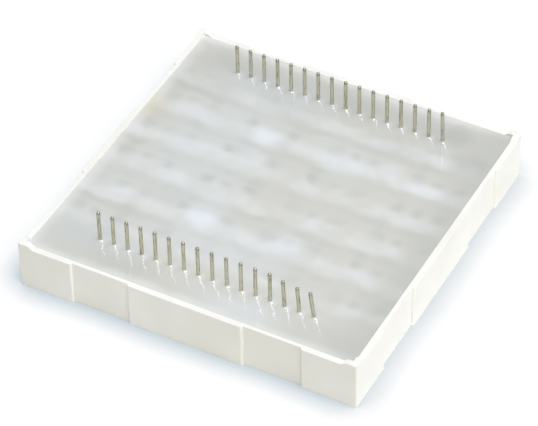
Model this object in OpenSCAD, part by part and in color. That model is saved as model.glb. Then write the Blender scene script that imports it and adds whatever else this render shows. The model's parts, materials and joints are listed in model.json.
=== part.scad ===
// LED dot matrix display, 8 by 8 dots with three colours in each, potted at the back.
// It lies on its light-emitting face. The origin is the middle of that face, +Z points out
// through the back along the pins, and the two rows of pins run along X.

/* [Dot grid] */
// Dots along each side
dots = 8; // [4:1:12]
// Spacing of the dots
dot_pitch = 7.62; // [6.2:0.01:10.16]
// Diameter of a dot at the front
dot_d = 5; // [3:0.1:5.2]
// Diameter of a reflector cup at the circuit board
cup_back_d = 3.6; // [2.8:0.1:4.4]
// How far a lens sits below the front face
dot_recess = 0.05; // [0:0.01:0.2]
// Gap that the cast lens leaves to its cup as it shrinks
lens_gap = 0.02; // [0.01:0.01:0.1]

/* [Housing] */
// Width of the gap between two displays mounted side by side
tile_gap = 0.96; // [0.4:0.02:2]
// Height of the rim above the front face
rim_h = 8.3; // [6.9:0.1:12]
// Depth of the reflector cups
cup_depth = 5.2; // [3:0.1:5.4]
// Thickness of the outer walls at the pads
wall_t = 1.05; // [0.8:0.05:1.8]
// Radius of the upright corner edges
corner_r = 0.25; // [0.1:0.05:0.8]
// Height of the corner feet above the rim
foot_h = 0.6; // [0.2:0.05:1.5]
// Length of the flat top of each leg of a corner foot
foot_len = 1.8; // [1.2:0.1:3.5]
// Length of the slope at the end of each leg
foot_slope = 0.9; // [0.1:0.1:2]
// Thickness of the front skin under the core-outs
skin_t = 1.2; // [0.8:0.1:2.5]
// Plastic left between a core-out and a cup
web_t = 1; // [0.6:0.1:1.6]
// Amount by which a core-out narrows towards the front, on its radius
core_draft = 0.1; // [0:0.01:0.2]

/* [Side recesses] */
// Depth of the two recesses in each side
recess_d = 0.42; // [0.1:0.01:0.55]
// Middle of the side to the near end of a recess
recess_from = 10.16; // [5:0.01:14]
// Length of a recess
recess_len = 10.16; // [4:0.01:12.2]

/* [Circuit board] */
// Thickness of the board
board_t = 1.2; // [0.8:0.1:1.45]
// Gap between the board's edge and the walls
board_gap = 0.25; // [0.1:0.05:0.8]
// Diameter of the plated holes for the pins
hole_d = 0.9; // [0.84:0.02:1.2]
// Width of an LED chip
chip_w = 0.32; // [0.2:0.02:0.4]
// Thickness of an LED chip
chip_t = 0.14; // [0.08:0.01:0.3]
// Spacing of the three chips in a cup
chip_pitch = 0.7; // [0.5:0.05:0.9]

/* [Potting] */
// How far the epoxy surface lies below the rim
fill_drop = 0.14; // [0.13:0.01:0.4]
// Height to which the epoxy climbs the walls
wall_climb = 0.12; // [0.02:0.01:0.12]
// Width of the climbing edge along the walls
wall_climb_w = 0.5; // [0.2:0.05:1]
// Height to which the epoxy climbs a pin
pin_climb = 0.34; // [0.1:0.02:0.5]
// Width of the climbing edge round a pin
pin_climb_w = 0.5; // [0.2:0.05:0.54]

/* [Pins] */
// Pins in each row
row_pins = 16; // [4:1:16]
// Spacing of the pins in a row
pin_pitch = 2.54; // [2:0.01:3.1]
// Spacing of the two rows
row_spacing = 45.72; // [38.1:0.01:55]
// Diameter of a pin
pin_d = 0.6; // [0.4:0.02:0.7]
// Height of a pin's end above the epoxy
pin_len = 6.14; // [2.5:0.01:12]
// Diameter of the solder on the board round a pin
solder_d = 1.6; // [1.2:0.1:2]
// Height above the epoxy at which the solder has thinned out on a pin
solder_over = 0.22; // [0.16:0.01:0.24]

/* [Bent pins] */
// How far the end of pin 14 stands from upright, along X and Y
bend_pin_14 = [0, -0.5]; // [-1.2:0.05:1.2]
// The same for pin 15
bend_pin_15 = [0.1, -0.8]; // [-1.2:0.05:1.2]
// The same for pin 16
bend_pin_16 = [-0.15, -0.9]; // [-1.2:0.05:1.2]
// The same for pin 17
bend_pin_17 = [-0.3, 0.3]; // [-1.2:0.05:1.2]

/* [Hidden] */
$fn = 48;
over = 1;                                   // overrun of a cut past the face it opens
body_w = dots * dot_pitch - tile_gap;
cavity_w = body_w - 2 * wall_t;
board_w = cavity_w - 2 * board_gap;
board_top = cup_depth + board_t;
fill_z = rim_h - fill_drop;
core_r = dot_pitch / sqrt(2) - dot_d / 2 - web_t;
chip_colours = ["red", "green", "blue"];
pin_count = 2 * row_pins;
tail_root = 0.5;                            // length of a pin's round tail inside its solder
arc_steps = 6;                              // flats that draw a climbing edge or a pin's end
solder_end = 0.9;                           // share of a pin's diameter at which its solder ends, inside it
collar_root = 0.3;                          // share of a climbing edge's width that runs on inside the pin
bends = [[14, bend_pin_14], [15, bend_pin_15], [16, bend_pin_16], [17, bend_pin_17]];

function two_digits(n) = str(n < 10 ? "0" : "", n);
function dot_place(i) = (i + 0.5) * dot_pitch - dots * dot_pitch / 2;

// Pins 1 to 16 run along the front row from -X to +X, and the rest come back along the rear row.
function pin_column(n) = n <= row_pins ? n : pin_count + 1 - n;
function pin_place(n) = [
    (pin_column(n) - (row_pins + 1) / 2) * pin_pitch,
    (n <= row_pins ? -1 : 1) * row_spacing / 2
];
function pin_bend(n) = let (found = [for (b = bends) if (b[0] == n) b[1]])
    len(found) > 0 ? found[0] : [0, 0];

// Height of a climbing edge of resin, at a share of its width from the wall or the pin
function climb(height, share) = height * pow(1 - share, 2);

// Square with round corners, drawn from true arcs
module round_square(width, radius) {
    square([width - 2 * radius, width], center = true);
    square([width, width - 2 * radius], center = true);
    for (x = [-1, 1], y = [-1, 1])
        translate([x, y] * (width / 2 - radius)) circle(radius);
}

// Outline of the housing: a rounded square with two shallow recesses in each side
module outline() {
    difference() {
        round_square(body_w, corner_r);
        for (turn = [0:3], way = [-1, 1])
            rotate(90 * turn)
                translate([way * (recess_from + recess_len / 2), body_w / 2])
                    square([recess_len, 2 * recess_d], center = true);
    }
}

// Ring of wall seen from above, inside the outline and outside the cavity
module wall_ring() {
    difference() {
        outline();
        square(cavity_w, center = true);
    }
}

// One leg of a corner foot along the front wall, from the corner to its sloping end
module foot_leg() {
    corner = body_w / 2;
    top = corner - foot_len;
    end = top - foot_slope;
    translate([0, -cavity_w / 2, 0])
        rotate([90, 0, 0])
            linear_extrude(wall_t)
                polygon([[corner, 0], [corner, rim_h + foot_h], [top, rim_h + foot_h],
                         [end, rim_h], [end, 0]]);
}

// Corner feet: two legs at each corner, kept inside the outline
module feet() {
    intersection() {
        linear_extrude(rim_h + foot_h) wall_ring();
        for (turn = [0:3], way = [0, 1])
            rotate(90 * turn) mirror([way, 0, 0]) foot_leg();
    }
}

// Reflector cup, wide at the front
module cup() {
    slope = (dot_d - cup_back_d) / 2 / cup_depth;
    translate([0, 0, -over])
        cylinder(h = cup_depth + 2 * over,
                 r1 = dot_d / 2 + slope * over,
                 r2 = cup_back_d / 2 - slope * over);
}

// Core-outs from the back where four cells of the grid meet
module core_outs() {
    depth = cup_depth - skin_t;
    for (i = [0:dots - 2], j = [0:dots - 2])
        translate([dot_place(i) + dot_pitch / 2, dot_place(j) + dot_pitch / 2, skin_t])
            cylinder(h = depth + over, r1 = core_r - core_draft, r2 = core_r);
}

module housing() {
    color("ivory")
        difference() {
            union() {
                linear_extrude(cup_depth) outline();
                linear_extrude(rim_h) wall_ring();
                feet();
            }
            for (i = [0:dots - 1], j = [0:dots - 1])
                translate([dot_place(i), dot_place(j), 0]) cup();
            core_outs();
        }
}

module board_blank(extra = 0) {
    translate([-board_w / 2, -board_w / 2, cup_depth - extra])
        cube([board_w, board_w, board_t + extra]);
}

module circuit_board() {
    color("whitesmoke")
        difference() {
            board_blank();
            for (n = [1:pin_count])
                translate(concat(pin_place(n), cup_depth - over))
                    cylinder(h = board_t + 2 * over, d = hole_d);
        }
}

// Round tail of a pin with a domed end, standing on the origin
module pin_tail(length) {
    radius = pin_d / 2;
    dome = [for (i = [0:arc_steps])
        let (angle = 90 * i / arc_steps)
        [radius * cos(angle), length - radius + radius * sin(angle)]];
    rotate_extrude() polygon(concat([[0, 0], [radius, 0]], dome));
}

// Solder that fills the plated hole and thins out as it climbs the pin
module solder_joint() {
    cylinder(h = board_t, d = hole_d);
    translate([0, 0, board_t])
        cylinder(h = fill_z + solder_over - board_top, d1 = solder_d, d2 = solder_end * pin_d);
}

// A pin with its solder. The tail bends where it leaves the epoxy.
module pin(n) {
    bend = pin_bend(n);
    lean = atan(norm(bend) / pin_len);
    color("silver")
        translate(pin_place(n)) {
            translate([0, 0, cup_depth]) solder_joint();
            translate([0, 0, fill_z])
                rotate(lean, [-bend.y, bend.x, lean > 0 ? 0 : 1])
                    translate([0, 0, -tail_root]) pin_tail(tail_root + pin_len);
        }
}

// Resin that climbs a pin in a hollow curve
module pin_collar() {
    edge = [for (i = [0:arc_steps])
        let (share = i / arc_steps * (1 + collar_root) - collar_root)
        [pin_d / 2 + share * pin_climb_w, climb(pin_climb, share)]];
    rotate_extrude()
        polygon(concat([[edge[0].x, -fill_drop]], edge,
                       [[pin_d / 2 + pin_climb_w, -fill_drop]]));
}

// Resin that climbs one wall, along the full width of the cavity
module wall_edge() {
    edge = [for (i = [0:arc_steps])
        let (share = i / arc_steps)
        [share * wall_climb_w, climb(wall_climb, share)]];
    rotate([90, 0, 0])
        linear_extrude(cavity_w, center = true)
            polygon(concat([[0, -fill_drop]], edge, [[wall_climb_w, -fill_drop]]));
}

module potting() {
    color([0.83, 0.85, 0.84])
        difference() {
            union() {
                translate([-cavity_w / 2, -cavity_w / 2, cup_depth])
                    cube([cavity_w, cavity_w, fill_z - cup_depth]);
                for (turn = [0:3])
                    rotate(90 * turn) translate([-cavity_w / 2, 0, fill_z]) wall_edge();
                for (n = [1:pin_count])
                    translate(concat(pin_place(n), fill_z)) pin_collar();
            }
            board_blank(over);
            for (n = [1:pin_count]) pin(n);
        }
}

module chip(colour) {
    place = search([colour], chip_colours)[0] - 1;
    translate([place * chip_pitch - chip_w / 2, -chip_w / 2, cup_depth - chip_t])
        cube([chip_w, chip_w, chip_t]);
}

module chips(colour) {
    color(colour)
        for (i = [0:dots - 1], j = [0:dots - 1])
            translate([dot_place(i), dot_place(j), 0]) chip(colour);
}

// One plug of milky resin, cast in its cup over the chips
module lens() {
    difference() {
        translate([0, 0, dot_recess])
            cylinder(h = cup_depth - dot_recess,
                     r1 = dot_d / 2 - lens_gap, r2 = cup_back_d / 2 - lens_gap);
        for (colour = chip_colours) chip(colour);
    }
}

module lens_row(row) {
    color("white")
        for (i = [0:dots - 1])
            translate([dot_place(i), dot_place(row - 1), 0]) lens();
}

housing();
circuit_board();
potting();
for (row = [1:dots])
    lens_row(row);
for (c = chip_colours)
    chips(c);
for (n = [1:pin_count])
    pin(n);
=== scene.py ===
"""Looks of an 8 by 8 LED dot matrix display that lies on its light-emitting face, pins up.

The moulded housing, the cast resin and the pins are built here in full detail round the
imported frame. The circuit board, the dot lenses and the LED chips keep their own meshes and
get their finish. Everything is in metres, +Z points out along the pins.
"""

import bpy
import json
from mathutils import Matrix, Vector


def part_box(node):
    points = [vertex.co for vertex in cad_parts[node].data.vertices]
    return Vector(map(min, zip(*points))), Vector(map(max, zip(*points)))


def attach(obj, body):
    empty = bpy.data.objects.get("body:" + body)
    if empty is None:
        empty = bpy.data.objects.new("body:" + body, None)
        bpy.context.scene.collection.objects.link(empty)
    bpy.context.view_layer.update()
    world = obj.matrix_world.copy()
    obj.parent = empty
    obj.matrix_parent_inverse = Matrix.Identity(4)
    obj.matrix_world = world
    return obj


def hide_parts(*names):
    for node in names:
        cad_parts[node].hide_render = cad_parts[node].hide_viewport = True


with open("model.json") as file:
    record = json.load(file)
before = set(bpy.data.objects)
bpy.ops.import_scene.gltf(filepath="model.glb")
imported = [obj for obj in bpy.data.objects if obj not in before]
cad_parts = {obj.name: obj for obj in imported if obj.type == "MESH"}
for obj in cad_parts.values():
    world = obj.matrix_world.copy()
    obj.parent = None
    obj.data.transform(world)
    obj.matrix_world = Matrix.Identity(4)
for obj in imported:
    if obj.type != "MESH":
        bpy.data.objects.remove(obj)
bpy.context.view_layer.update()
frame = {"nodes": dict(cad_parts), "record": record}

import json
import math
from functools import partial

import bmesh
import bpy
from bpy.props import FloatProperty, FloatVectorProperty, IntProperty, PointerProperty
from mathutils import Matrix, Vector, noise

bl_info = {
    "name": "LED Dot Matrix Display",
    "version": (1, 0, 0),
    "blender": (4, 5, 0),
    "location": "View3D > Sidebar > Dot Matrix",
    "description": "Builds and finishes a potted LED dot matrix display on its packed frame",
    "category": "Object",
}

MM = 0.001
PER_MM = 1000.0
TINY = 1e-6
HOUSING_LOW, HOUSING_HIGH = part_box("housing")
POTTING_LOW, POTTING_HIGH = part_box("potting")
BOARD_LOW, BOARD_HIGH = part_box("circuit_board")
BODY_HALF = HOUSING_HIGH.x
FOOT_TOP = HOUSING_HIGH.z
CAVITY_HALF = POTTING_HIGH.x
BOARD_HALF = BOARD_HIGH.x
CUP_DEPTH = BOARD_LOW.z
BOARD_TOP = BOARD_HIGH.z
LENS_ROWS = sorted(name for name in frame["nodes"] if name.startswith("lens_row_"))
PIN_NODES = sorted(name for name in frame["nodes"] if name.startswith("pin_"))
DOTS = len(LENS_ROWS)


def linear(hex_colour):
    """Linear RGBA of an sRGB hex colour."""
    channels = [int(hex_colour[i:i + 2], 16) / 255 for i in (1, 3, 5)]
    return tuple(c / 12.92 if c <= 0.04045 else ((c + 0.055) / 1.055) ** 2.4 for c in channels) + (1.0,)


def colour(name, hex_colour, description):
    """A colour property with its sRGB default."""
    return FloatVectorProperty(name=name, description=description, subtype="COLOR", size=4,
                               min=0.0, max=1.0, default=linear(hex_colour))


def length(name, size_mm, description, most_mm=20.0):
    """A length property whose default is given in millimetres."""
    return FloatProperty(name=name, description=description, unit="LENGTH", precision=5,
                         min=0.0, max=most_mm * MM, default=size_mm * MM)


def angle(name, degrees, description):
    """An angle property whose default is given in degrees."""
    return FloatProperty(name=name, description=description, subtype="ANGLE",
                         default=math.radians(degrees))


class HousingSettings(bpy.types.PropertyGroup):
    foot_height: length("Foot height", 0.6, "Height of the corner feet above the rim")
    foot_length: length("Foot length", 1.8, "Length of the flat top of each leg of a corner foot")
    foot_slope: length("Foot slope", 0.9, "Length of the slope at the end of each leg")
    corner_radius: length("Corner radius", 0.25, "Radius of the upright corner edges")
    recess_depth: length("Recess depth", 0.42, "Depth of the two recesses in each side")
    recess_start: length("Recess start", 10.16, "Middle of a side to the near end of a recess")
    recess_end: length("Recess end", 20.32, "Middle of a side to the far end of a recess", 30.0)
    step_radius: length("Step radius", 0.3, "Radius of the upright edges of the recesses")
    edge_radius: length("Edge radius", 0.04, "Radius that the mould leaves on sharp edges")
    cup_front: length("Cup front", 2.5, "Radius of a reflector cup at the front face")
    cup_back: length("Cup back", 1.8, "Radius of a reflector cup at the circuit board")
    skin: length("Front skin", 1.2, "Thickness of the front skin under the core-outs")
    core_radius: length("Core-out radius", 1.888, "Radius of a core-out at its open end")
    core_draft: length("Core-out draft", 0.1, "Amount by which a core-out narrows to the front")
    plastic: colour("Plastic", "#F4F3EB", "Ivory white of the moulded housing")
    plastic_shade: colour("Plastic shade", "#ECEADF", "Slightly duller tone of the flow marks")
    ink: colour("Front ink", "#17181A", "Black ink that is printed round the dots")


class PottingSettings(bpy.types.PropertyGroup):
    surface_drop: length("Surface drop", 0.14, "How far the resin surface lies below the rim")
    wall_climb: length("Wall climb", 0.06, "Height to which the resin climbs the walls")
    wall_reach: length("Wall reach", 0.45, "Distance in which the climb at the walls fades out")
    pin_slope: length("Pin slope", 0.08, "Strength of the wide rise of the resin towards a pin")
    pin_reach: length("Pin reach", 1.35, "Reach of the wide rise round a pin")
    collar_height: length("Collar height", 0.15, "Height of the steep collar right at a pin")
    collar_width: length("Collar width", 0.3, "Distance in which the steep collar fades out")
    corner_climb: length("Corner climb", 0.25, "Extra height to which the resin climbs in the corners")
    corner_reach: length("Corner reach", 1.5, "Distance in which the climb in the corners fades out")
    mound_height: length("Mound height", 0.035, "Height of the low mound over each solder joint")
    mound_radius: length("Mound radius", 1.05, "Radius of the steep edge of the mound")
    mound_edge: length("Mound edge", 0.08, "Half width of the steep edge of the mound")
    unevenness: length("Unevenness", 0.006, "Height of the slow waves in the cast surface")
    unevenness_size: length("Unevenness size", 9.0, "Length of the slow waves", 60.0)
    grid_step: length("Grid step", 0.55, "Spacing of the surface's grid lines away from the pins")
    resin: colour("Resin", "#CACAC0", "Cloudy grey of the cast epoxy")
    resin_cool: colour("Cool resin", "#CCD0CB", "Bluish tone on the left, where the resin is thick")
    light_row: colour("Light rows", "#DADCD7", "Tone over the bright rows of dots")
    track: colour("Tracks", "#BBBDB4", "Dull tone of the board's tracks seen through the resin")
    pad: colour("Pads", "#ADB6B0", "Darker tone of pads and chips seen through the resin")
    glare: colour("Bare board", "#E5EAEF", "Bluish white where the bare board shines through")
    # Tone of the darker patches and of the painted shade towards the right wall
    dark_and_shade: colour("Dark border", "#A9ABA3", "Dull tone where the resin is thick and shaded")
    # Light edge along the walls: partly the white walls seen through the resin, partly their painted
    # reflection in the climbing edge
    wall_glow: colour("Wall glow", "#E1E4DE", "Light tone where the white walls show through the resin")
    varnish: colour("Varnish", "#D3C89E", "Yellow tone of a varnish stain on the left")
    # Pale colour painted as the glints and streaks below the pins
    glint_thread: colour("Threads", "#F1F4F6", "Fine pale threads that the resin drew out from the pins")


class PinSettings(bpy.types.PropertyGroup):
    radius: length("Radius", 0.3, "Radius of a pin")
    solder_radius: length("Solder radius", 0.8, "Radius of the solder on the board")
    hole_radius: length("Hole radius", 0.45, "Radius of the solder in the plated hole")
    solder_top: length("Solder top", 8.268, "Height at which the solder has thinned to the pin")
    grain: length("Grain", 0.004, "Depth of the dull grain in the tinned surface")
    sides: IntProperty(name="Sides", description="Flats round a pin", min=8, max=64, default=28)
    tin: colour("Tin", "#D2D0BC", "Olive grey of the dull tin plating")
    tin_edge: colour("Tin at its edges", "#A6A493", "Weaker shine of the tin seen at a flat angle")
    tin_dark: colour("Dark tin", "#6B6855", "Stained tone at the cut end and in streaks")


class BoardSettings(bpy.types.PropertyGroup):
    mask: colour("Solder mask", "#E4E6E0", "White solder mask over the board")
    track: colour("Tracks", "#C9CCC2", "Tone of the copper tracks under the mask")
    laminate: colour("Laminate", "#B9A878", "Cut edge of the glass-fibre laminate")


class LensSettings(bpy.types.PropertyGroup):
    resin: colour("Resin", "#E9E9E4", "Milky white of the dot lenses")
    resin_dull: colour("Dull resin", "#D9DAD6", "Duller tone where the diffuser has settled")


class ChipSettings(bpy.types.PropertyGroup):
    red: colour("Red chip", "#8C3A2C", "Dull red of the aluminium gallium chip")
    green: colour("Green chip", "#5C7F66", "Greenish grey of the indium gallium chip")
    blue: colour("Blue chip", "#54688F", "Bluish grey of the indium gallium chip")
    electrode: colour("Electrode", "#C9A24B", "Gold of the bond pad on top")


class StageSettings(bpy.types.PropertyGroup):
    azimuth: angle("Azimuth", 28.87, "Turn of the camera from the front side")
    elevation: angle("Elevation", 42.89, "Height of the camera above the floor")
    roll: angle("Roll", 1.24, "Tilt of the camera about its own axis")
    distance: length("Distance", 476.3, "Camera to the point that it looks at", 3000.0)
    lens: FloatProperty(name="Lens", description="Focal length on a 36 mm sensor",
                        unit="CAMERA", min=20.0, max=400.0, default=199.64)
    aim: FloatVectorProperty(name="Aim", description="Point that the camera looks at",
                             subtype="TRANSLATION", size=3,
                             default=(1.764 * MM, -5.1 * MM, 8.16 * MM))
    key_power: FloatProperty(name="Key power", description="Power of the large soft lamp",
                             unit="POWER", min=0.0, default=10.6)
    spark_power: FloatProperty(name="Spark power", unit="POWER", min=0.0, default=3.1185,
                               description="Power of the small lamp that lights only the gloss")
    sky: FloatProperty(name="Sky", description="Strength of the even light all round",
                       min=0.0, max=2.0, default=0.28)
    floor: colour("Floor", "#F3F3EE", "Pale paper that the display lies on")
    paper_glow: colour("Paper glow", "#DBE2E8", "Light of the open paper where it is seen")
    paper_contact: colour("Contact", "#90AABA", "Light of the paper right beside the display")
    paper_shade: colour("Paper shade", "#95897C", "Tone in which the paper takes the lamps' light")


class DisplaySettings(bpy.types.PropertyGroup):
    housing: PointerProperty(type=HousingSettings)
    potting: PointerProperty(type=PottingSettings)
    pins: PointerProperty(type=PinSettings)
    board: PointerProperty(type=BoardSettings)
    lenses: PointerProperty(type=LensSettings)
    chips: PointerProperty(type=ChipSettings)
    stage: PointerProperty(type=StageSettings)


# ---- node and mesh helpers


def add_node(tree, kind, inputs=None, **settings):
    """Adds a node, sets its properties, and gives each input a value, a socket or another node's
    first active output. A kind without a prefix is a shader node."""
    node = tree.nodes.new(kind if kind.startswith(("Geometry", "NodeGroup")) else "ShaderNode" + kind)
    for name, value in settings.items():
        setattr(node, name, value)
    for key, value in (inputs or {}).items():
        if isinstance(value, bpy.types.Node):
            value = next(output for output in value.outputs if output.enabled)
        if isinstance(value, bpy.types.NodeSocket):
            tree.links.new(value, node.inputs[key])
        else:
            node.inputs[key].default_value = value
    return node


def make_material(name, build, *details):
    """A material whose surface is the shader that a function builds. The function gets what adds
    its nodes and the object's coordinates in millimetres, then the details."""
    material = bpy.data.materials.new(name)
    material.use_nodes = True
    material.node_tree.nodes.clear()
    add = partial(add_node, material.node_tree)
    mm = add("VectorMath", {0: add("TexCoord").outputs["Object"], 3: PER_MM}, operation="SCALE")
    add("OutputMaterial", {0: build(add, mm, *details)})
    return material


def seen_white(add, plain, white):
    """The plain shader for the light on the display, and the white one for what is seen
    directly, in gloss and through glass."""
    rays = add("LightPath").outputs
    glossy = add("Math", {0: rays["Is Camera Ray"], 1: rays["Is Glossy Ray"]}, operation="MAXIMUM")
    seen = add("Math", {0: glossy, 1: rays["Is Transmission Ray"]}, operation="MAXIMUM")
    return add("MixShader", {0: seen, 1: plain, 2: white})


def mesh_object(name, bm_or_mesh, *materials):
    """Links a mesh or a finished bmesh as an object at the origin."""
    if isinstance(bm_or_mesh, bpy.types.Mesh):
        mesh = bm_or_mesh
        mesh.name = name
    else:
        mesh = bpy.data.meshes.new(name)
        bm_or_mesh.to_mesh(mesh)
        bm_or_mesh.free()
    for material in materials:
        mesh.materials.append(material)
    obj = bpy.data.objects.new(name, mesh)
    bpy.context.scene.collection.objects.link(obj)
    return obj


def bake_modifiers(obj):
    """Puts the modifiers into the mesh and takes them off."""
    graph = bpy.context.evaluated_depsgraph_get()
    mesh = bpy.data.meshes.new_from_object(obj.evaluated_get(graph))
    obj.modifiers.clear()
    old = obj.data
    obj.data = mesh
    bpy.data.meshes.remove(old)


def ring(bm, x, y, z, radius, angles):
    """Vertices on a level circle, one at each angle."""
    return [bm.verts.new((x + radius * math.cos(a), y + radius * math.sin(a), z)) for a in angles]


def closed_edges(loop):
    """Each vertex of a closed loop with the one after it."""
    return zip(loop, loop[1:] + loop[:1])


def bridge(bm, loops):
    """Bands of faces from each loop to the next one, which has as many vertices."""
    for first, second in zip(loops, loops[1:]):
        for (a, b), (c, d) in zip(closed_edges(first), closed_edges(second)):
            bm.faces.new((a, b, d, c))


def use_material(node_name, material):
    """Gives a CAD node's object one material."""
    mesh = frame["nodes"][node_name].data
    mesh.materials.clear()
    mesh.materials.append(material)


def surface_height():
    """Height of the flat resin surface."""
    display = bpy.context.scene.dot_matrix
    return FOOT_TOP - display.housing.foot_height - display.potting.surface_drop


def dot_pitch():
    """Spacing of the dots, from the places of the first two rows of lenses."""
    rows = [sum(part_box(name), Vector()) / 2 for name in LENS_ROWS[:2]]
    return rows[1].y - rows[0].y


def pin_lines():
    """Each pin's foot on the resin surface and its direction, from the record's mounts."""
    lines = {}
    surface = surface_height()
    for mount in frame["record"]["mounts"]:
        place, axis = Vector(mount["pos_m"]), Vector(mount["axis"])
        if mount["kind"] == "bolt_pattern":
            half = mount["dims"]["spacing_y_mm"] * MM / 2
            numbers = mount["name"].split("_")[1:3]
            for number, side in zip(numbers, (-1, 1)):
                lines[f"pin_{number}"] = (Vector((place.x, side * half, surface)), axis)
        elif mount["kind"] == "pin":
            foot = place - axis * ((place.z - surface) / axis.z)
            lines[mount["name"].removesuffix("_tail")] = (foot, axis)
    missing = set(PIN_NODES) - set(lines)
    if missing:
        raise RuntimeError(f"no mount gives the place of {sorted(missing)}")
    return lines


def pin_pitch(lines):
    """Spacing of the pins along a row."""
    row = sorted(foot.x for foot, axis in lines.values() if foot.y < 0)
    return (row[-1] - row[0]) / (len(row) - 1)


# ---- materials
# Places and sizes in the materials are in millimetres, but a bump's distance is in metres.


def ivory_abs(add, mm, settings):
    """Ivory ABS, injection moulded in a spark-eroded tool: a satin, faintly grained skin with
    slow flow marks and a few dark specks burnt into the melt."""
    flow_marks = add("TexNoise", {"Vector": mm, "Scale": 1 / 14, "Detail": 2.0})
    flow = add("MapRange", {0: flow_marks, 1: 0.35, 2: 0.7})
    body = add("Mix", {0: flow, 6: settings.plastic, 7: settings.plastic_shade}, data_type="RGBA")
    specks = add("TexVoronoi", {"Vector": mm, "Scale": 1 / 3.1})
    speck_size = add("MapRange", {0: specks.outputs["Distance"], 1: 0.02, 2: 0.035, 3: 0.5, 4: 0.0})
    rare = add("SeparateColor", {0: specks.outputs["Color"]})
    chosen = add("Math", {0: rare, 1: 0.8}, operation="GREATER_THAN")
    speck = add("Math", {0: speck_size, 1: chosen}, operation="MULTIPLY")
    speckled = add("Mix", {0: speck, 6: body, 7: linear("#77705F")}, data_type="RGBA")
    grain = add("TexNoise", {"Vector": mm, "Scale": 1 / 0.16, "Detail": 3.0})
    gloss = add("MapRange", {0: grain, 1: 0.3, 2: 0.7, 3: 0.36, 4: 0.5})
    bump = add("Bump", {"Height": grain, "Strength": 0.12, "Distance": 0.012 * MM})
    return add("BsdfPrincipled", {"Base Color": speckled, "Roughness": gloss, "IOR": 1.54,
                                  "Normal": bump})


def screen_ink(add, mm, settings):
    """Black two-part ink, screen printed on the plastic: matt, with the mesh's fine orange
    peel and small thin places."""
    thin = add("TexNoise", {"Vector": mm, "Scale": 1 / 1.8, "Detail": 5.0})
    thin_share = add("MapRange", {0: thin, 1: 0.55, 2: 0.8, 4: 0.16})
    tone = add("Mix", {0: thin_share, 6: settings.ink, 7: linear("#4A4A48")}, data_type="RGBA")
    peel = add("TexNoise", {"Vector": mm, "Scale": 1 / 0.12, "Detail": 2.0})
    gloss = add("MapRange", {0: peel, 3: 0.5, 4: 0.72})
    bump = add("Bump", {"Height": peel, "Strength": 0.2, "Distance": 0.01 * MM})
    return add("BsdfPrincipled", {"Base Color": tone, "Roughness": gloss, "IOR": 1.5, "Normal": bump})


# Places of the board's features below the haze
LIGHT_ROW_Y = 3.1
TRACK_Y = 0.6
STRIP_X = -3.3
PAD_X, PAD_Y = 7.8, 5.4
# Soft patches, each as x, y, half width, half height and strength
BRIGHT_PATCHES = (
    (-7.3, 11.3, 3.2, 2.5, 0.65), (-7.2, -11.1, 3.6, 2.3, 0.62), (-6.6, 5.2, 2.6, 2.8, 0.25),
    (8.2, -10.6, 3.9, 3, 0.36), (21.8, 10.6, 4.2, 1.8, 0.5), (14.6, 12.4, 2.7, 2.6, 0.3),
    (7, 10.6, 5, 2.6, 0.36), (-18, 3.4, 7, 2.2, 0.25), (-12, 17.8, 6, 1.7, 0.15),
    (10.6, 18, 2.8, 1.8, 0.25), (21.8, 18, 5.2, 1.4, 0.15), (-21.6, -11, 3.2, 1.5, 0.3),
    (22, -11.6, 4.2, 2, 0.3), (-17, -4.6, 5.2, 1.8, 0.2), (-21, 11, 5, 2, 0.3), (4, 2.8, 4, 1.8, 0.15),
    (8, -26.4, 7, 2.6, 0.2), (-2, -15.5, 14, 5.5, 0.17), (-7, -8, 5, 3.5, 0.2),
)
COOL_PATCHES = (
    (-14, 3, 13, 22, 1), (6, 12, 9, 6, 0.6), (8, -26.5, 12, 3.5, 0.5), (8, -8, 4, 8, 0.4),
    (-26, -14, 6, 16, 0.5), (-12, 21.5, 15, 5, 0.8), (-19, -21.5, 10, 6, 0.8), (20, 20, 5, 4, 0.3),
    (-1, -14.5, 14, 7, 0.6),
)
DARK_PATCHES = (
    (-23.5, 23.8, 6.5, 4, 0.3), (26, 19.8, 4.5, 3, 0.25), (20.8, 25, 3, 4, 0.3),
    (-6, 24.6, 16, 3.2, 0.25), (10, 24.2, 14, 3.4, 0.25), (-14, -9, 4.5, 2.2, 0.12),
    (-22, 18, 8, 3.4, 0.3), (-25, -24.5, 4.5, 3.5, 0.1), (21, 18, 8, 3, 0.15),
    (-14, -25.5, 10, 3.5, 0.3), (-21, -21, 7, 4, 0.2), (22, -26, 8, 3.2, 0.15), (-4, 21.5, 16, 3, 0.15),
    (4, 25.5, 22, 5, 0.18), (13, 18.5, 7, 3.6, 0.22), (-11, 18.5, 11, 3, 0.15),
    (-19, 25.5, 7, 4.5, 0.2), (-14, 23, 8, 4, 0.2), (20, 24, 9, 5, 0.2), (-4, 18, 6, 2.5, 0.15),
)
STAIN_PATCHES = ((-28.4, 9.4, 3.4, 4.2, 0.35),)
# How far the haze shifts what lies under it
HAZE_SHIFT = 2.4
# Width of the painted glint streaks below the pins, and how strongly their pale colour is mixed in
GLINT_WIDTH, GLINT_SHARE = 0.17, 0.8
# Spacing of the masked board's tracks, and how near to the display the paper darkens
TRACK_PITCH = 1.27
CONTACT_REACH = 6.0


def stripe(add, coordinate, middle, period, full, none):
    """Share, 1 within one distance and 0 beyond another, of repeated stripes across a coordinate."""
    moved = add("Math", {0: coordinate, 1: middle}, operation="SUBTRACT")
    distance = add("Math", {0: moved, 1: period / 2}, operation="PINGPONG")
    return add("MapRange", {0: distance, 1: none, 2: full}, interpolation_type="SMOOTHSTEP")


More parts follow.
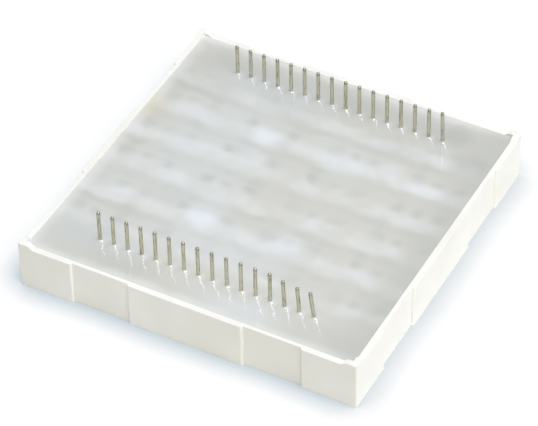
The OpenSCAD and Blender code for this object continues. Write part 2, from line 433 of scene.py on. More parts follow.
def patches(add, place, spots):
    """Share of a group of soft oval patches."""
    total = 0.0
    for x, y, wide, high, strength in spots:
        moved = add("VectorMath", {0: place, 1: (x, y, 0)}, operation="SUBTRACT")
        scaled = add("VectorMath", {0: moved, 1: (1 / wide, 1 / high, 0)}, operation="MULTIPLY")
        far = add("VectorMath", {0: scaled}, operation="LENGTH")
        share = add("MapRange", {0: far, 1: 1.3, 2: 0.1, 4: strength}, interpolation_type="SMOOTHERSTEP")
        total = add("Math", {0: total, 1: share}, operation="ADD")
    return total


def glint_threads(add, mm):
    """Share of the painted glints: one pale, broken streak that runs from each pin to the front right. The
    same share also raises a low thread of resin by bump.
    """
    lines = pin_lines()
    pitch = pin_pitch(lines) * PER_MM
    row = max(foot.y for foot, axis in lines.values()) * PER_MM
    last_pin = max(foot.x for foot, axis in lines.values()) * PER_MM
    wobble = add("TexNoise", {"Vector": mm, "Scale": 1 / 1.6, "Detail": 1.0})
    bend = add("MapRange", {0: wobble, 1: 0.3, 2: 0.7, 3: -0.3, 4: 0.3})
    axes = add("SeparateXYZ", {0: mm})
    from_row = add("Math", {0: axes.outputs["Y"], 1: 2 * row, 2: 0.0}, operation="WRAP")
    below = add("Math", {0: row, 1: from_row}, operation="SUBTRACT")
    lean = add("Math", {0: below, 1: 0.8, 2: 0.2}, operation="MULTIPLY_ADD")
    start = add("Math", {0: axes.outputs["X"], 1: lean}, operation="SUBTRACT")
    bent = add("Math", {0: start, 1: bend}, operation="ADD")
    at_pin = add("Math", {0: bent, 1: pitch, 2: 0.0}, operation="WRAP")
    off_line = add("Math", {0: at_pin, 1: pitch / 2}, operation="SUBTRACT")
    away = add("Math", {0: off_line}, operation="ABSOLUTE")
    glint_thread = add("MapRange", {0: away, 1: GLINT_WIDTH, 2: 0.0}, interpolation_type="SMOOTHSTEP")
    leaves = add("MapRange", {0: below, 1: 0.15, 2: 0.3})
    fades = add("MapRange", {0: below, 1: 3.5, 2: 2.0})
    side = add("Math", {0: bent}, operation="ABSOLUTE")
    has_pin = add("Math", {0: side, 1: last_pin + pitch / 2}, operation="LESS_THAN")
    # Breaks each painted glint streak into bright dots
    glint_fleck = add("TexNoise", {"Vector": mm, "Scale": 1 / 0.35, "Detail": 0.0})
    broken = add("MapRange", {0: glint_fleck, 1: 0.4, 2: 0.6, 3: 0.4, 4: 1.5})
    at_foot = add("MapRange", {0: below, 1: 1.6, 2: 1.0})
    row_share = add("MapRange", {0: axes.outputs["Y"], 1: 10.0, 2: -15.0, 3: 0.15, 4: 0.9})
    strong = add("Math", {0: at_foot, 1: row_share}, operation="MAXIMUM")
    for share in (leaves, fades, has_pin, strong, broken):
        glint_thread = add("Math", {0: glint_thread, 1: share}, operation="MULTIPLY")
    return glint_thread


def cloudy_epoxy(add, mm, settings):
    """Cloudy casting epoxy over a populated board: glossy on top, with the light rows of dots, the tracks,
    the pads and the bare patches of the board blurred by the haze below.
    It also carries painted shade near the right wall, a light edge at the walls that is partly painted
    reflection, and painted glints below the pins."""
    wobble = add("TexNoise", {"Vector": mm, "Scale": 1 / 5.5, "Detail": 1.0})
    centred = add("VectorMath", {0: wobble.outputs["Color"], 1: (0.5, 0.5, 0.5)}, operation="SUBTRACT")
    shift = add("VectorMath", {0: centred, 3: HAZE_SHIFT}, operation="SCALE")
    place = add("VectorMath", {0: mm, 1: shift}, operation="ADD")
    axes = add("SeparateXYZ", {0: place})
    across, up = axes.outputs["X"], axes.outputs["Y"]
    uneven = add("TexNoise", {"Vector": mm, "Scale": 1 / 5.0, "Detail": 2.0})
    strength = add("MapRange", {0: uneven, 1: 0.38, 2: 0.62, 3: 0.25, 4: 1.0})
    pitch = dot_pitch() * PER_MM
    off_middle = add("Math", {0: up}, operation="ABSOLUTE")
    on_board = add("MapRange", {0: off_middle, 1: 21.5, 2: 19.0})
    shown = add("Math", {0: on_board, 1: strength}, operation="MULTIPLY")

    rows = stripe(add, up, LIGHT_ROW_Y, pitch, 0.3, 3.0)
    tracks = stripe(add, up, TRACK_Y, pitch, 0.1, 1.5)
    strips = stripe(add, across, STRIP_X, pitch, 0.2, 1.9)
    pad_columns = stripe(add, across, PAD_X, 2 * pitch, 0.2, 1.5)
    pad_rows = stripe(add, up, PAD_Y, pitch, 0.2, 1.6)
    between = add("Math", {0: 1.0, 1: rows}, operation="SUBTRACT")
    strip_part = add("Math", {0: strips, 1: between}, operation="MULTIPLY")
    pad_places = add("Math", {0: pad_columns, 1: strips}, operation="MAXIMUM")
    pads = add("Math", {0: pad_places, 1: pad_rows}, operation="MULTIPLY")

    cool = patches(add, place, COOL_PATCHES)
    tone = add("Mix", {0: cool, 6: settings.resin, 7: settings.resin_cool}, data_type="RGBA")
    bright = patches(add, place, BRIGHT_PATCHES)
    dark = patches(add, place, DARK_PATCHES)
    # Painted shade: the resin darkens towards the right wall, which keeps the key light off it; the darker
    # patches add to it
    right_wall_shade = add("MapRange", {0: across, 1: 21.0, 2: 28.0, 4: 0.4})
    dark_and_shade = add("Math", {0: dark, 1: right_wall_shade}, operation="ADD")
    stain = patches(add, place, STAIN_PATCHES)
    layers = ((rows, 0.8, settings.light_row), (tracks, 0.5, settings.track),
              (strip_part, 0.4, settings.track), (pads, 0.4, settings.pad))
    for share, most, tint in layers:
        part = add("Math", {0: share, 1: shown}, operation="MULTIPLY")
        weak = add("Math", {0: part, 1: most}, operation="MULTIPLY")
        tone = add("Mix", {0: weak, 6: tone, 7: tint}, data_type="RGBA")
    # Light edge along the walls: partly the white walls seen through the resin, partly their painted
    # reflection in the climbing edge
    left_wall_light = add("MapRange", {0: across, 1: -26.4, 2: -28.9, 4: 0.5}, interpolation_type="SMOOTHSTEP")
    other_walls_light = add("MapRange", {0: off_middle, 1: 27.0, 2: 28.9, 4: 0.6},
                      interpolation_type="SMOOTHSTEP")
    glow = add("Math", {0: left_wall_light, 1: other_walls_light}, operation="MAXIMUM")
    for share, tint in ((glow, settings.wall_glow), (bright, settings.glare), (dark_and_shade, settings.dark_and_shade),
                        (stain, settings.varnish)):
        tone = add("Mix", {0: share, 6: tone, 7: tint}, data_type="RGBA")
    # Painted glints: pale streaks and dots below the pins, which also get a low bump
    threads = glint_threads(add, mm)
    glint_share = add("Math", {0: threads, 1: GLINT_SHARE}, operation="MULTIPLY")
    tone = add("Mix", {0: glint_share, 6: tone, 7: settings.glint_thread}, data_type="RGBA")
    bump = add("Bump", {"Height": threads, "Strength": 1.0, "Distance": 0.01 * MM})
    rough = add("TexNoise", {"Vector": mm, "Scale": 1 / 7, "Detail": 1.0})
    gloss = add("MapRange", {0: rough, 3: 0.03, 4: 0.07})
    return add("BsdfPrincipled", {"Base Color": tone, "Roughness": gloss, "IOR": 1.55, "Normal": bump})


def tinned_brass(add, mm, settings):
    """Brass wire, hot tinned and then aged: dull olive grey with a soft sheen, stained at the
    cut end and in short streaks along the wire."""
    along = add("VectorMath", {0: mm, 1: (4.0, 4.0, 0.7)}, operation="MULTIPLY")
    streaks = add("TexNoise", {"Vector": along, "Scale": 1.0, "Detail": 3.0})
    stain = add("MapRange", {0: streaks, 1: 0.52, 2: 0.72, 4: 0.7})
    axes = add("SeparateXYZ", {0: mm})
    cut_end = add("MapRange", {0: axes.outputs["Z"], 1: 13.6, 2: 14.2, 4: 0.8})
    dark = add("Math", {0: stain, 1: cut_end}, operation="MAXIMUM")
    tone = add("Mix", {0: dark, 6: settings.tin, 7: settings.tin_dark}, data_type="RGBA")
    gloss = add("MapRange", {0: streaks, 1: 0.3, 2: 0.7, 3: 0.3, 4: 0.46})
    return add("BsdfPrincipled", {"Base Color": tone, "Metallic": 1.0, "Roughness": gloss,
                                  "Specular Tint": settings.tin_edge})


def masked_laminate(add, mm, settings):
    """Glass-fibre laminate under white solder mask, with the copper showing faintly."""
    tracks = add("TexBrick", {"Vector": mm, "Color1": settings.track, "Color2": settings.mask,
                              "Mortar": settings.mask, "Scale": 1.0, "Mortar Size": 0.18,
                              "Brick Width": dot_pitch() * PER_MM, "Row Height": TRACK_PITCH})
    facing = add("SeparateXYZ", {0: add("NewGeometry").outputs["Normal"]})
    upright = add("Math", {0: facing.outputs["Z"]}, operation="ABSOLUTE")
    weave = add("TexNoise", {"Vector": mm, "Scale": 1 / 0.4})
    edge = add("Mix", {0: weave, 6: settings.laminate, 7: linear("#CFC49A")}, data_type="RGBA")
    tone = add("Mix", {0: upright, 6: edge, 7: tracks}, data_type="RGBA")
    gloss = add("MapRange", {0: weave, 3: 0.25, 4: 0.4})
    return add("BsdfPrincipled", {"Base Color": tone, "Roughness": gloss, "IOR": 1.5})


def milky_epoxy(add, mm, settings):
    """Casting epoxy filled with diffuser powder: milky, softly glossy, a little cloudy."""
    cloud = add("TexNoise", {"Vector": mm, "Scale": 1 / 2.2, "Detail": 4.0})
    tone = add("Mix", {0: cloud, 6: settings.resin, 7: settings.resin_dull}, data_type="RGBA")
    gloss = add("MapRange", {0: cloud, 3: 0.16, 4: 0.3})
    return add("BsdfPrincipled", {"Base Color": tone, "Roughness": gloss, "IOR": 1.53})


def led_chip(add, mm, tint, electrode):
    """Sawn semiconductor chip: coloured crystal with gold bond pads."""
    grain = add("TexNoise", {"Vector": mm, "Scale": 1 / 0.05, "Detail": 2.0})
    pad = add("MapRange", {0: grain, 1: 0.6, 2: 0.64})
    tone = add("Mix", {0: pad, 6: tint, 7: electrode}, data_type="RGBA")
    gloss = add("MapRange", {0: grain, 3: 0.15, 4: 0.35})
    return add("BsdfPrincipled", {"Base Color": tone, "Roughness": gloss, "IOR": 2.4})


def studio_paper(add, mm, settings):
    """Pale studio paper. It is seen white, darkened only where the display keeps the light off it."""
    plain = add("BsdfDiffuse", {"Color": settings.floor})
    # Painted contact shadow: the glow that keeps the paper white dims where ambient occlusion finds the
    # display near
    contact_occlusion = add("AmbientOcclusion", {"Distance": CONTACT_REACH * MM})
    open_share = add("MapRange", {0: contact_occlusion.outputs["AO"], 1: 0.5, 2: 1.0})
    tone = add("Mix", {0: open_share, 6: settings.paper_contact, 7: settings.paper_glow}, data_type="RGBA")
    glow = add("Emission", {"Color": tone, "Strength": 1.0})
    shade = add("BsdfDiffuse", {"Color": settings.paper_shade})
    lit = add("AddShader", {0: shade, 1: glow})
    return seen_white(add, plain, lit)


# ---- housing

ROUND_STEPS = 4
CUP_SIDES, CORE_SIDES = 40, 28
# How far a cutter stands out of what it cuts
OVERCUT = 1 * MM
# Size of a cup's lip as a share of the edge radius, and the share of the lip below its middle ring
LIP_SIZE, LIP_MIDDLE = 0.6, 0.3


def quarter_round(end, radius):
    """Rounding at one end of a straight stretch, as pairs of place along it and depth below it."""
    turns = [math.pi / 2 * k / ROUND_STEPS for k in range(ROUND_STEPS + 1)]
    return [(end - radius + radius * math.sin(a), radius - radius * math.cos(a)) for a in turns]


def side_points(settings, way):
    """Outline of one half of a side seen from above, as pairs of place along it and depth below it."""
    start, end, depth = settings.recess_start, settings.recess_end, settings.recess_depth
    slope_end = BODY_HALF - settings.foot_length - settings.foot_slope
    near = quarter_round(start, settings.step_radius)
    far = [(-s, d) for s, d in reversed(quarter_round(-end, settings.step_radius))]
    half_side = near + [(start, depth), (end, depth)] + far + [(slope_end, 0)]
    if way < 0:
        return [(-s, d) for s, d in reversed(half_side)]
    return half_side


def housing_block(settings):
    """The moulding before its cups are cut: walls, rim, feet and cavity, all as clean faces."""
    bm = bmesh.new()
    rim = FOOT_TOP - settings.foot_height
    foot = BODY_HALF - settings.foot_length
    end = foot - settings.foot_slope
    inner = BODY_HALF - CAVITY_HALF
    found = {}

    def vertex(x, y, z):
        key = tuple(round(v * 1e7) for v in (x, y, z))
        if key not in found:
            found[key] = bm.verts.new((x, y, z))
        return found[key]

    def face(points):
        bm.faces.new([vertex(*p) for p in points])

    outline = []
    for quarter in range(4):
        turn = Matrix.Rotation(quarter * math.pi / 2, 3, "Z")

        def at(s, depth, z):
            return tuple(turn @ Vector((s, -BODY_HALF + depth, z)))

        side = side_points(settings, -1) + side_points(settings, 1)
        corner = quarter_round(BODY_HALF, settings.corner_radius)
        outline += [at(s, d, 0)[:2] for s, d in side + corner]
        # Outer faces between the feet, then the foot's own faces round the corner
        for (s0, d0), (s1, d1) in zip(side, side[1:]):
            face([at(s0, d0, 0), at(s1, d1, 0), at(s1, d1, rim), at(s0, d0, rim)])
        face([at(end, 0, 0), at(*corner[0], 0), at(*corner[0], FOOT_TOP), at(foot, 0, FOOT_TOP),
              at(end, 0, rim)])
        for (s0, d0), (s1, d1) in zip(corner, corner[1:]):
            face([at(s0, d0, 0), at(s1, d1, 0), at(s1, d1, FOOT_TOP), at(s0, d0, FOOT_TOP)])
        near, far = settings.foot_length, settings.foot_length + settings.foot_slope
        face([at(*corner[-1], 0), at(BODY_HALF, far, 0), at(BODY_HALF, far, rim),
              at(BODY_HALF, near, FOOT_TOP), at(*corner[-1], FOOT_TOP)])
        # Rim strip, flat foot top and the two slopes that meet this side
        face([at(s, d, rim) for s, d in side] + [at(end, inner, rim), at(-end, inner, rim)])
        face([at(foot, 0, FOOT_TOP)] + [at(s, d, FOOT_TOP) for s, d in corner]
             + [at(BODY_HALF, near, FOOT_TOP), at(CAVITY_HALF, near, FOOT_TOP),
                at(CAVITY_HALF, inner, FOOT_TOP), at(foot, inner, FOOT_TOP)])
        face([at(end, 0, rim), at(foot, 0, FOOT_TOP), at(foot, inner, FOOT_TOP), at(end, inner, rim)])
        face([at(-end, inner, rim), at(-foot, inner, FOOT_TOP), at(-foot, 0, FOOT_TOP), at(-end, 0, rim)])
        # Inner wall of the cavity
        face([at(CAVITY_HALF, inner, CUP_DEPTH), at(-CAVITY_HALF, inner, CUP_DEPTH),
              at(-CAVITY_HALF, inner, FOOT_TOP), at(-foot, inner, FOOT_TOP), at(-end, inner, rim),
              at(end, inner, rim), at(foot, inner, FOOT_TOP), at(CAVITY_HALF, inner, FOOT_TOP)])
    face([(x, y, 0) for x, y in reversed(outline)])
    c = CAVITY_HALF
    face([(-c, -c, CUP_DEPTH), (c, -c, CUP_DEPTH), (c, c, CUP_DEPTH), (-c, c, CUP_DEPTH)])
    bmesh.ops.recalc_face_normals(bm, faces=bm.faces)
    return bm


def round_edges(bm, radius):
    """Rounds every sharp edge except those deep in the cavity."""
    sharp = [e for e in bm.edges if e.calc_face_angle(0) > math.radians(40)
             and not all(abs(v.co.z - CUP_DEPTH) < TINY for v in e.verts)]
    bmesh.ops.bevel(bm, geom=sharp, offset=radius, segments=3, profile=0.5, affect="EDGES",
                    clamp_overlap=True)


def cutter_grid(count, rings, sides):
    """Cutters for the cups or core-outs: one ring profile repeated at the middle of each cell."""
    bm = bmesh.new()
    pitch = dot_pitch()
    angles = [2 * math.pi * k / sides for k in range(sides)]
    for i in range(count):
        for j in range(count):
            x, y = ((k - (count - 1) / 2) * pitch for k in (i, j))
            loops = [ring(bm, x, y, z, radius, angles) for z, radius in rings]
            bridge(bm, loops)
            bm.faces.new(list(reversed(loops[0])))
            bm.faces.new(loops[-1])
    return bm


def cut(obj, cutter):
    """Takes the cutter's shape out of the object and removes the cutter."""
    boolean = obj.modifiers.new("cut", "BOOLEAN")
    boolean.operation = "DIFFERENCE"
    boolean.solver = "EXACT"
    boolean.object = cutter
    bake_modifiers(obj)
    old = cutter.data
    bpy.data.objects.remove(cutter)
    bpy.data.meshes.remove(old)


def smooth_with_weights(obj, angle):
    """Smooth shading that keeps flat faces flat and edges sharper than the angle."""
    obj.data.shade_smooth()
    obj.data.set_sharp_from_angle(angle=angle)
    weighted = obj.modifiers.new("weighted", "WEIGHTED_NORMAL")
    weighted.keep_sharp = True
    bake_modifiers(obj)


class DOTMATRIX_OT_housing(bpy.types.Operator):
    """Build the moulded housing with its cups, feet and stepped sides"""

    bl_idname = "dot_matrix.housing"
    bl_label = "Housing"

    def execute(self, context):
        settings = context.scene.dot_matrix.housing
        block = housing_block(settings)
        round_edges(block, settings.edge_radius)
        obj = mesh_object("housing_moulding", block,
                          make_material("ivory_abs_moulded", ivory_abs, settings),
                          make_material("black_screen_ink", screen_ink, settings))
        lip = settings.edge_radius * LIP_SIZE
        slope = (settings.cup_front - settings.cup_back) / CUP_DEPTH
        cups = [(-OVERCUT, settings.cup_front + lip + OVERCUT), (0, settings.cup_front + lip),
                (lip * LIP_MIDDLE, settings.cup_front + lip * LIP_MIDDLE - slope * lip * LIP_MIDDLE),
                (lip, settings.cup_front - slope * lip),
                (CUP_DEPTH + OVERCUT, settings.cup_back - slope * OVERCUT)]
        cut(obj, mesh_object("cup_cutter", cutter_grid(DOTS, cups, CUP_SIDES)))
        cores = [(settings.skin, settings.core_radius - settings.core_draft),
                 (CUP_DEPTH + OVERCUT, settings.core_radius)]
        cut(obj, mesh_object("core_cutter", cutter_grid(DOTS - 1, cores, CORE_SIDES)))
        for polygon in obj.data.polygons:
            on_front = polygon.normal.z < -0.999 and abs(polygon.center.z) < TINY
            polygon.material_index = 1 if on_front else 0
        smooth_with_weights(obj, math.radians(35))
        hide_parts("housing")
        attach(obj, "root")
        return {"FINISHED"}


# ---- potting

# Distances in millimetres of the grid lines near a wall, where the resin climbs
WALL_LINES = (2.2, 1.75, 1.4, 1.1, 0.86, 0.66, 0.5, 0.37, 0.26, 0.17, 0.1, 0.04, 0.0)
WALL_BAND = 2.4 * MM
# Distances in millimetres of the rings round a pin from its skin
PIN_RINGS = (0.93, 0.89, 0.85, 0.81, 0.77, 0.73, 0.69, 0.64, 0.58, 0.51, 0.43, 0.35, 0.28, 0.21, 0.15,
             0.1, 0.05, 0.0)
# Steps of the fine grid across the cell round each pin, and to each side of a row
CELL, FINE_REACH = 12, 16
# Middle of the mound of resin, seen from its pin
MOUND_OFFSET = Vector((-0.12, -0.17)) * MM


def grid_lines(inner):
    """Mirrored grid lines across the cavity, from those on the positive side without the walls."""
    half = sorted(v for v in inner if 0 < v < CAVITY_HALF - WALL_BAND)
    half += [CAVITY_HALF - d * MM for d in WALL_LINES]
    return [-v for v in reversed(half)] + [0.0] + half


def resin_surface(settings, pin_radius, feet):
    """A function that gives the height of the resin at a place, with its climb at walls and pins."""
    surface = surface_height()

    def height(x, y):
        wall_x, wall_y = CAVITY_HALF - abs(x), CAVITY_HALF - abs(y)
        wave = noise.noise(Vector((x, y, 0)) / settings.unevenness_size)
        calm = min(1.0, min(wall_x, wall_y) / (3 * settings.wall_reach))
        rise = settings.wall_climb * max(math.exp(-wall_x / settings.wall_reach),
                                         math.exp(-wall_y / settings.wall_reach))
        rise += settings.corner_climb * math.exp(-math.hypot(wall_x, wall_y) / settings.corner_reach)
        for foot in feet:
            away = max(math.hypot(x - foot.x, y - foot.y), pin_radius)
            if away < 6 * settings.pin_reach:
                rise += settings.pin_slope / 2 * math.log1p((settings.pin_reach / away) ** 2)
                rise += settings.collar_height * math.exp((pin_radius - away) / settings.collar_width)
                off_centre = math.hypot(x - foot.x - MOUND_OFFSET.x, y - foot.y - MOUND_OFFSET.y)
                edge = (settings.mound_radius - off_centre) / settings.mound_edge
                rise += settings.mound_height / 2 * (1 + math.tanh(edge))
        return surface + rise + settings.unevenness * wave * calm

    return height


def border(i, j, wide, high):
    """Grid places round a block of cells, from its first corner."""
    return ([(i + k, j) for k in range(wide)] + [(i + wide, j + k) for k in range(high)]
            + [(i + wide - k, j + high) for k in range(wide)] + [(i, j + high - k) for k in range(high)])


class DOTMATRIX_OT_potting(bpy.types.Operator):
    """Build the cast resin with the edges that climb the walls and the pins"""

    bl_idname = "dot_matrix.potting"
    bl_label = "Potting"

    def execute(self, context):
        settings = context.scene.dot_matrix.potting
        pins = context.scene.dot_matrix.pins
        lines = pin_lines()
        feet = [foot for foot, axis in lines.values()]
        step = pin_pitch(lines) / CELL
        row = max(foot.y for foot in feet)
        fine = [row + k * step for k in range(-FINE_REACH, FINE_REACH + 1)]
        count = int((fine[0] - settings.grid_step / 2) / settings.grid_step)
        xs = grid_lines([k * step for k in range(1, int(CAVITY_HALF / step))])
        ys = grid_lines([fine[0] * k / count for k in range(1, count)] + fine)
        height = resin_surface(settings, pins.radius, feet)
        bm = bmesh.new()
        cells = {name: (min(range(len(xs)), key=lambda i: abs(xs[i] - foot.x)) - CELL // 2,
                        min(range(len(ys)), key=lambda j: abs(ys[j] - foot.y)) - CELL // 2)
                 for name, (foot, axis) in lines.items()}
        inside, skip = set(), set()
        for i0, j0 in cells.values():
            skip.update((i, j) for i in range(i0, i0 + CELL) for j in range(j0, j0 + CELL))
            inside.update((i, j) for i in range(i0 + 1, i0 + CELL) for j in range(j0 + 1, j0 + CELL))
        top = {(i, j): bm.verts.new((x, y, height(x, y)))
               for i, x in enumerate(xs) for j, y in enumerate(ys) if (i, j) not in inside}
        for i in range(len(xs) - 1):
            for j in range(len(ys) - 1):
                if (i, j) not in skip:
                    bm.faces.new((top[i, j], top[i + 1, j], top[i + 1, j + 1], top[i, j + 1]))
        hole_rims = [self.collar(bm, [top[key] for key in border(*cell, CELL, CELL)], lines[name],
                                 settings, pins, height) for name, cell in cells.items()]
        self.close(bm, [top[key] for key in border(0, 0, len(xs) - 1, len(ys) - 1)], hole_rims)
        bmesh.ops.recalc_face_normals(bm, faces=bm.faces)
        epoxy = make_material("cloudy_casting_epoxy", cloudy_epoxy, settings)
        obj = mesh_object("potting_resin", bm, epoxy)
        obj.data.shade_smooth()
        obj.data.set_sharp_from_angle(angle=math.radians(60))
        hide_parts("potting")
        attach(obj, "root")
        return {"FINISHED"}

    def collar(self, bm, outer, line, settings, pins, height):
        """Rings of resin round one pin, from its grid cell in to the pin and down the solder."""
        foot, axis = line
        angles = [math.atan2(v.co.y - foot.y, v.co.x - foot.x) for v in outer]
        loops = [outer]
        for away in PIN_RINGS:
            loop = []
            for angle in angles:
                radius = pins.radius + away * MM
                x, y = foot.x + radius * math.cos(angle), foot.y + radius * math.sin(angle)
                z = height(x, y)
                share = math.exp(-away * MM / settings.collar_width)
                lean = Vector((axis.x, axis.y)) / axis.z * (z - foot.z) * share
                loop.append(bm.verts.new((x + lean.x, y + lean.y, z)))
            loops.append(loop)
        for z, radius in ((pins.solder_top, pins.radius), (BOARD_TOP, pins.solder_radius)):
            loops.append(ring(bm, foot.x, foot.y, z, radius, angles))
        bridge(bm, loops)
        return loops[-1]

    def close(self, bm, rim, hole_rims):
        """Side walls, the skirt round the board's edge, and the underside on the board."""
        share = BOARD_HALF / CAVITY_HALF
        levels = [(CUP_DEPTH, 1.0), (CUP_DEPTH, share), (BOARD_TOP, share)]
        loops = [rim] + [[bm.verts.new((v.co.x * s, v.co.y * s, z)) for v in rim] for z, s in levels]
        bridge(bm, loops)
        edges = [bm.edges.get(pair) for loop in (loops[-1], *hole_rims) for pair in closed_edges(loop)]
        bmesh.ops.triangle_fill(bm, use_beauty=True, edges=edges, normal=(0, 0, -1))


# ---- pins

DOME_RINGS = 7
TAIL_RINGS = 16
# Thickness of the solder's step at the board, and how the dome ends in a small flat
HAIR = 0.01 * MM
TIP_FLAT, TIP_SHARE = 0.004 * MM, 0.16
# Step from one pin's grain to the next one's
SEED_STEP = 3.7


def pin_tree():
    """Sweeps a round section along a pin's centre line, then grains its surface."""
    tree = bpy.data.node_groups.new("tinned_pin", "GeometryNodeTree")
    interface = tree.interface
    for name, kind in (("Centre line", "Geometry"), ("Sides", "Int"), ("Grain", "Float"),
                       ("Seed", "Float"), ("Material", "Material")):
        interface.new_socket(name, in_out="INPUT", socket_type="NodeSocket" + kind)
    interface.new_socket("Pin", in_out="OUTPUT", socket_type="NodeSocketGeometry")
    add = partial(add_node, tree)
    given = add("NodeGroupInput").outputs
    wide = add("GeometryNodeInputNamedAttribute", {"Name": "wire_radius"}, data_type="FLOAT")
    curve = add("GeometryNodeMeshToCurve", {0: given["Centre line"]})
    section = add("GeometryNodeCurvePrimitiveCircle", {"Resolution": given["Sides"], "Radius": 1.0})
    swept = add("GeometryNodeCurveToMesh", {0: curve, 1: section, "Scale": wide, "Fill Caps": True})
    grain = add("TexNoise", {"Vector": add("GeometryNodeInputPosition"), "W": given["Seed"],
                             "Scale": 1 / (0.3 * MM), "Detail": 3.0}, noise_dimensions="4D")
    centred = add("Math", {0: grain, 1: 0.5}, operation="SUBTRACT")
    depth = add("Math", {0: centred, 1: given["Grain"]}, operation="MULTIPLY")
    shift = add("VectorMath", {0: add("GeometryNodeInputNormal"), 3: depth}, operation="SCALE")
    grained = add("GeometryNodeSetPosition", {0: swept, "Offset": shift})
    smooth = add("GeometryNodeSetShadeSmooth", {0: grained})
    real = add("GeometryNodeRealizeInstances", {0: smooth})
    finished = add("GeometryNodeSetMaterial", {0: real, "Material": given["Material"]})
    add("NodeGroupOutput", {0: finished})
    return tree


def pin_profile(settings, tip_height):
    """Heights and radii of a pin from the board's underside to its domed end."""
    dome = [(tip_height - settings.radius * (1 - math.sin(a)), settings.radius * math.cos(a))
            for a in (math.pi / 2 * k / DOME_RINGS for k in range(DOME_RINGS))]
    solder = [(CUP_DEPTH, settings.hole_radius), (BOARD_TOP - HAIR, settings.hole_radius),
              (BOARD_TOP, settings.solder_radius)]
    straight = dome[0][0] - settings.solder_top
    tail = [settings.solder_top + straight * k / TAIL_RINGS for k in range(TAIL_RINGS)]
    return (solder + [(z, settings.radius) for z in tail] + dome
            + [(tip_height - TIP_FLAT, settings.radius * TIP_SHARE)])


def set_input(modifier, tree, name, value):
    """Sets a Geometry Nodes input by its socket's identifier."""
    socket = next(s for s in tree.interface.items_tree if s.name == name and s.in_out == "INPUT")
    modifier[socket.identifier] = value


class DOTMATRIX_OT_pins(bpy.types.Operator):
    """Build the tinned pins, each with its solder, bent as the real ones are"""

    bl_idname = "dot_matrix.pins"
    bl_label = "Pins"

    def execute(self, context):
        settings = context.scene.dot_matrix.pins
        tin = make_material("tinned_brass_wire", tinned_brass, settings)
        tree = pin_tree()
        surface = surface_height()
        for number, (name, (foot, axis)) in enumerate(sorted(pin_lines().items())):
            mesh = bpy.data.meshes.new(name)
            rings = pin_profile(settings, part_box(name)[1].z)
            points = [foot + (axis / axis.z if z > surface else Vector((0, 0, 1))) * (z - surface)
                      for z, radius in rings]
            mesh.from_pydata(points, [(k, k + 1) for k in range(len(points) - 1)], [])
            widths = mesh.attributes.new("wire_radius", "FLOAT", "POINT")
            widths.data.foreach_set("value", [radius for z, radius in rings])
            obj = mesh_object(f"tinned_{name}", mesh)
            modifier = obj.modifiers.new("pin", "NODES")
            modifier.node_group = tree
            for key, value in (("Sides", settings.sides), ("Grain", settings.grain),
                               ("Seed", number * SEED_STEP), ("Material", tin)):
                set_input(modifier, tree, key, value)
            bake_modifiers(obj)
            # The cloudy resin blurs a thin pin's shadow until it cannot be seen
            obj.visible_shadow = False
            obj.visible_diffuse = False
            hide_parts(name)
            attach(obj, "root")
        return {"FINISHED"}


# ---- board, lenses and chips


class DOTMATRIX_OT_board(bpy.types.Operator):
    """Finish the circuit board"""

    bl_idname = "dot_matrix.board"
    bl_label = "Circuit board"

    def execute(self, context):
        settings = context.scene.dot_matrix.board
        use_material("circuit_board", make_material("white_masked_laminate", masked_laminate, settings))
        return {"FINISHED"}


class DOTMATRIX_OT_lenses(bpy.types.Operator):
    """Finish the milky dot lenses"""

    bl_idname = "dot_matrix.lenses"
    bl_label = "Dot lenses"

    def execute(self, context):
        milky = make_material("milky_diffuser_epoxy", milky_epoxy, context.scene.dot_matrix.lenses)
        for name in LENS_ROWS:
            use_material(name, milky)
        return {"FINISHED"}


class DOTMATRIX_OT_chips(bpy.types.Operator):
    """Finish the red, green and blue LED chips"""

    bl_idname = "dot_matrix.chips"
    bl_label = "LED chips"

    def execute(self, context):
        settings = context.scene.dot_matrix.chips
        for name in ("red", "green", "blue"):
            tint = getattr(settings, name)
            crystal = make_material(f"{name}_led_crystal", led_chip, tint, settings.electrode)
            use_material(f"{name}_chips", crystal)
        return {"FINISHED"}


# ---- stage


def lamp(name, azimuth, elevation, distance, size, power, tint):
    """A square lamp round the display, aimed at its middle, with its place given in degrees."""
    light = bpy.data.lights.new(name, "AREA")
    light.shape = "SQUARE"
    light.size = size
    light.energy = power
    light.color = linear(tint)[:3]
    obj = bpy.data.objects.new(name, light)
    centre = Vector((0, 0, BOARD_TOP))
    obj.location = centre + direction(math.radians(azimuth), math.radians(elevation)) * distance
    obj.rotation_mode = "QUATERNION"
    obj.rotation_quaternion = (centre - obj.location).to_track_quat("-Z", "Y")
    bpy.context.scene.collection.objects.link(obj)
    return obj


def direction(azimuth, elevation):
    """Unit vector from the display to a place round it. Azimuth 0 is the front side."""
    return Vector((math.sin(azimuth) * math.cos(elevation), -math.cos(azimuth) * math.cos(elevation),
                   math.sin(elevation)))


FLOOR_HALF = 2.0
FLOOR_DROP = 0.01 * MM


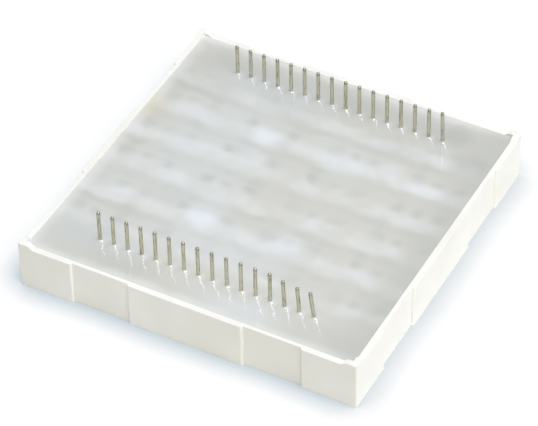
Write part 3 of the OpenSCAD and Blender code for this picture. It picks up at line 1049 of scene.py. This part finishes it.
class DOTMATRIX_OT_stage(bpy.types.Operator):
    """Set up the floor, the soft light and the camera"""

    bl_idname = "dot_matrix.stage"
    bl_label = "Stage"

    def execute(self, context):
        settings = context.scene.dot_matrix.stage
        scene = context.scene
        bm = bmesh.new()
        bmesh.ops.create_grid(bm, x_segments=1, y_segments=1, size=FLOOR_HALF,
                              matrix=Matrix.Translation((0, 0, -FLOOR_DROP)))
        paper = make_material("studio_paper", studio_paper, settings)
        mesh_object("studio_floor", bm, paper)
        lamp("key_softbox", azimuth=74, elevation=61.7, distance=0.9, size=0.8,
             power=settings.key_power, tint="#F0F1FF")
        spark = lamp("spark_top", azimuth=150, elevation=73, distance=0.7, size=0.15,
                     power=settings.spark_power, tint="#FFFFFF")
        spark.visible_diffuse = False
        world = bpy.data.worlds.new("studio")
        world.use_nodes = True
        world.node_tree.nodes.clear()
        add = partial(add_node, world.node_tree)
        sky = add("Background", {0: linear("#FFFFE8"), 1: settings.sky})
        white = add("Background", {0: linear("#FFFFFF"), 1: 1.0})
        add("OutputWorld", {0: seen_white(add, sky, white)})
        scene.world = world
        scene.view_settings.view_transform = "Standard"
        camera = bpy.data.objects.new("camera", bpy.data.cameras.new("camera"))
        camera.data.lens = settings.lens
        camera.data.sensor_width = 36.0
        camera.data.clip_start = 10 * MM
        out = direction(settings.azimuth, settings.elevation)
        camera.location = Vector(settings.aim) + out * settings.distance
        camera.rotation_mode = "QUATERNION"
        camera.rotation_quaternion = ((-out).to_track_quat("-Z", "Y")
                                      @ Matrix.Rotation(-settings.roll, 3, "Z").to_quaternion())
        scene.collection.objects.link(camera)
        scene.camera = camera
        return {"FINISHED"}


# ---- add-on


class DOTMATRIX_PT_display(bpy.types.Panel):
    """Sizes and colours of the display, and the steps that build it"""

    bl_idname = "DOTMATRIX_PT_display"
    bl_label = "LED Dot Matrix Display"
    bl_space_type = "VIEW_3D"
    bl_region_type = "UI"
    bl_category = "Dot Matrix"

    def draw(self, context):
        display = context.scene.dot_matrix
        for operator, group in STEPS:
            box = self.layout.box()
            box.operator(operator.bl_idname)
            settings = getattr(display, group)
            for name in settings.__annotations__:
                box.prop(settings, name)


STEPS = (
    (DOTMATRIX_OT_stage, "stage"),
    (DOTMATRIX_OT_housing, "housing"),
    (DOTMATRIX_OT_potting, "potting"),
    (DOTMATRIX_OT_pins, "pins"),
    (DOTMATRIX_OT_board, "board"),
    (DOTMATRIX_OT_lenses, "lenses"),
    (DOTMATRIX_OT_chips, "chips"),
)
CLASSES = (
    HousingSettings, PottingSettings, PinSettings, BoardSettings, LensSettings, ChipSettings,
    StageSettings, DisplaySettings, *(operator for operator, group in STEPS), DOTMATRIX_PT_display,
)


def register():
    for cls in CLASSES:
        bpy.utils.register_class(cls)
    bpy.types.Scene.dot_matrix = PointerProperty(type=DisplaySettings)


def unregister():
    del bpy.types.Scene.dot_matrix
    for cls in reversed(CLASSES):
        bpy.utils.unregister_class(cls)


def main():
    register()
    noise.seed_set(7)
    bpy.ops.dot_matrix.stage()
    bpy.ops.dot_matrix.housing()
    bpy.ops.dot_matrix.potting()
    bpy.ops.dot_matrix.pins()
    bpy.ops.dot_matrix.board()
    bpy.ops.dot_matrix.lenses()
    bpy.ops.dot_matrix.chips()


if __name__ == "__main__":
    main()
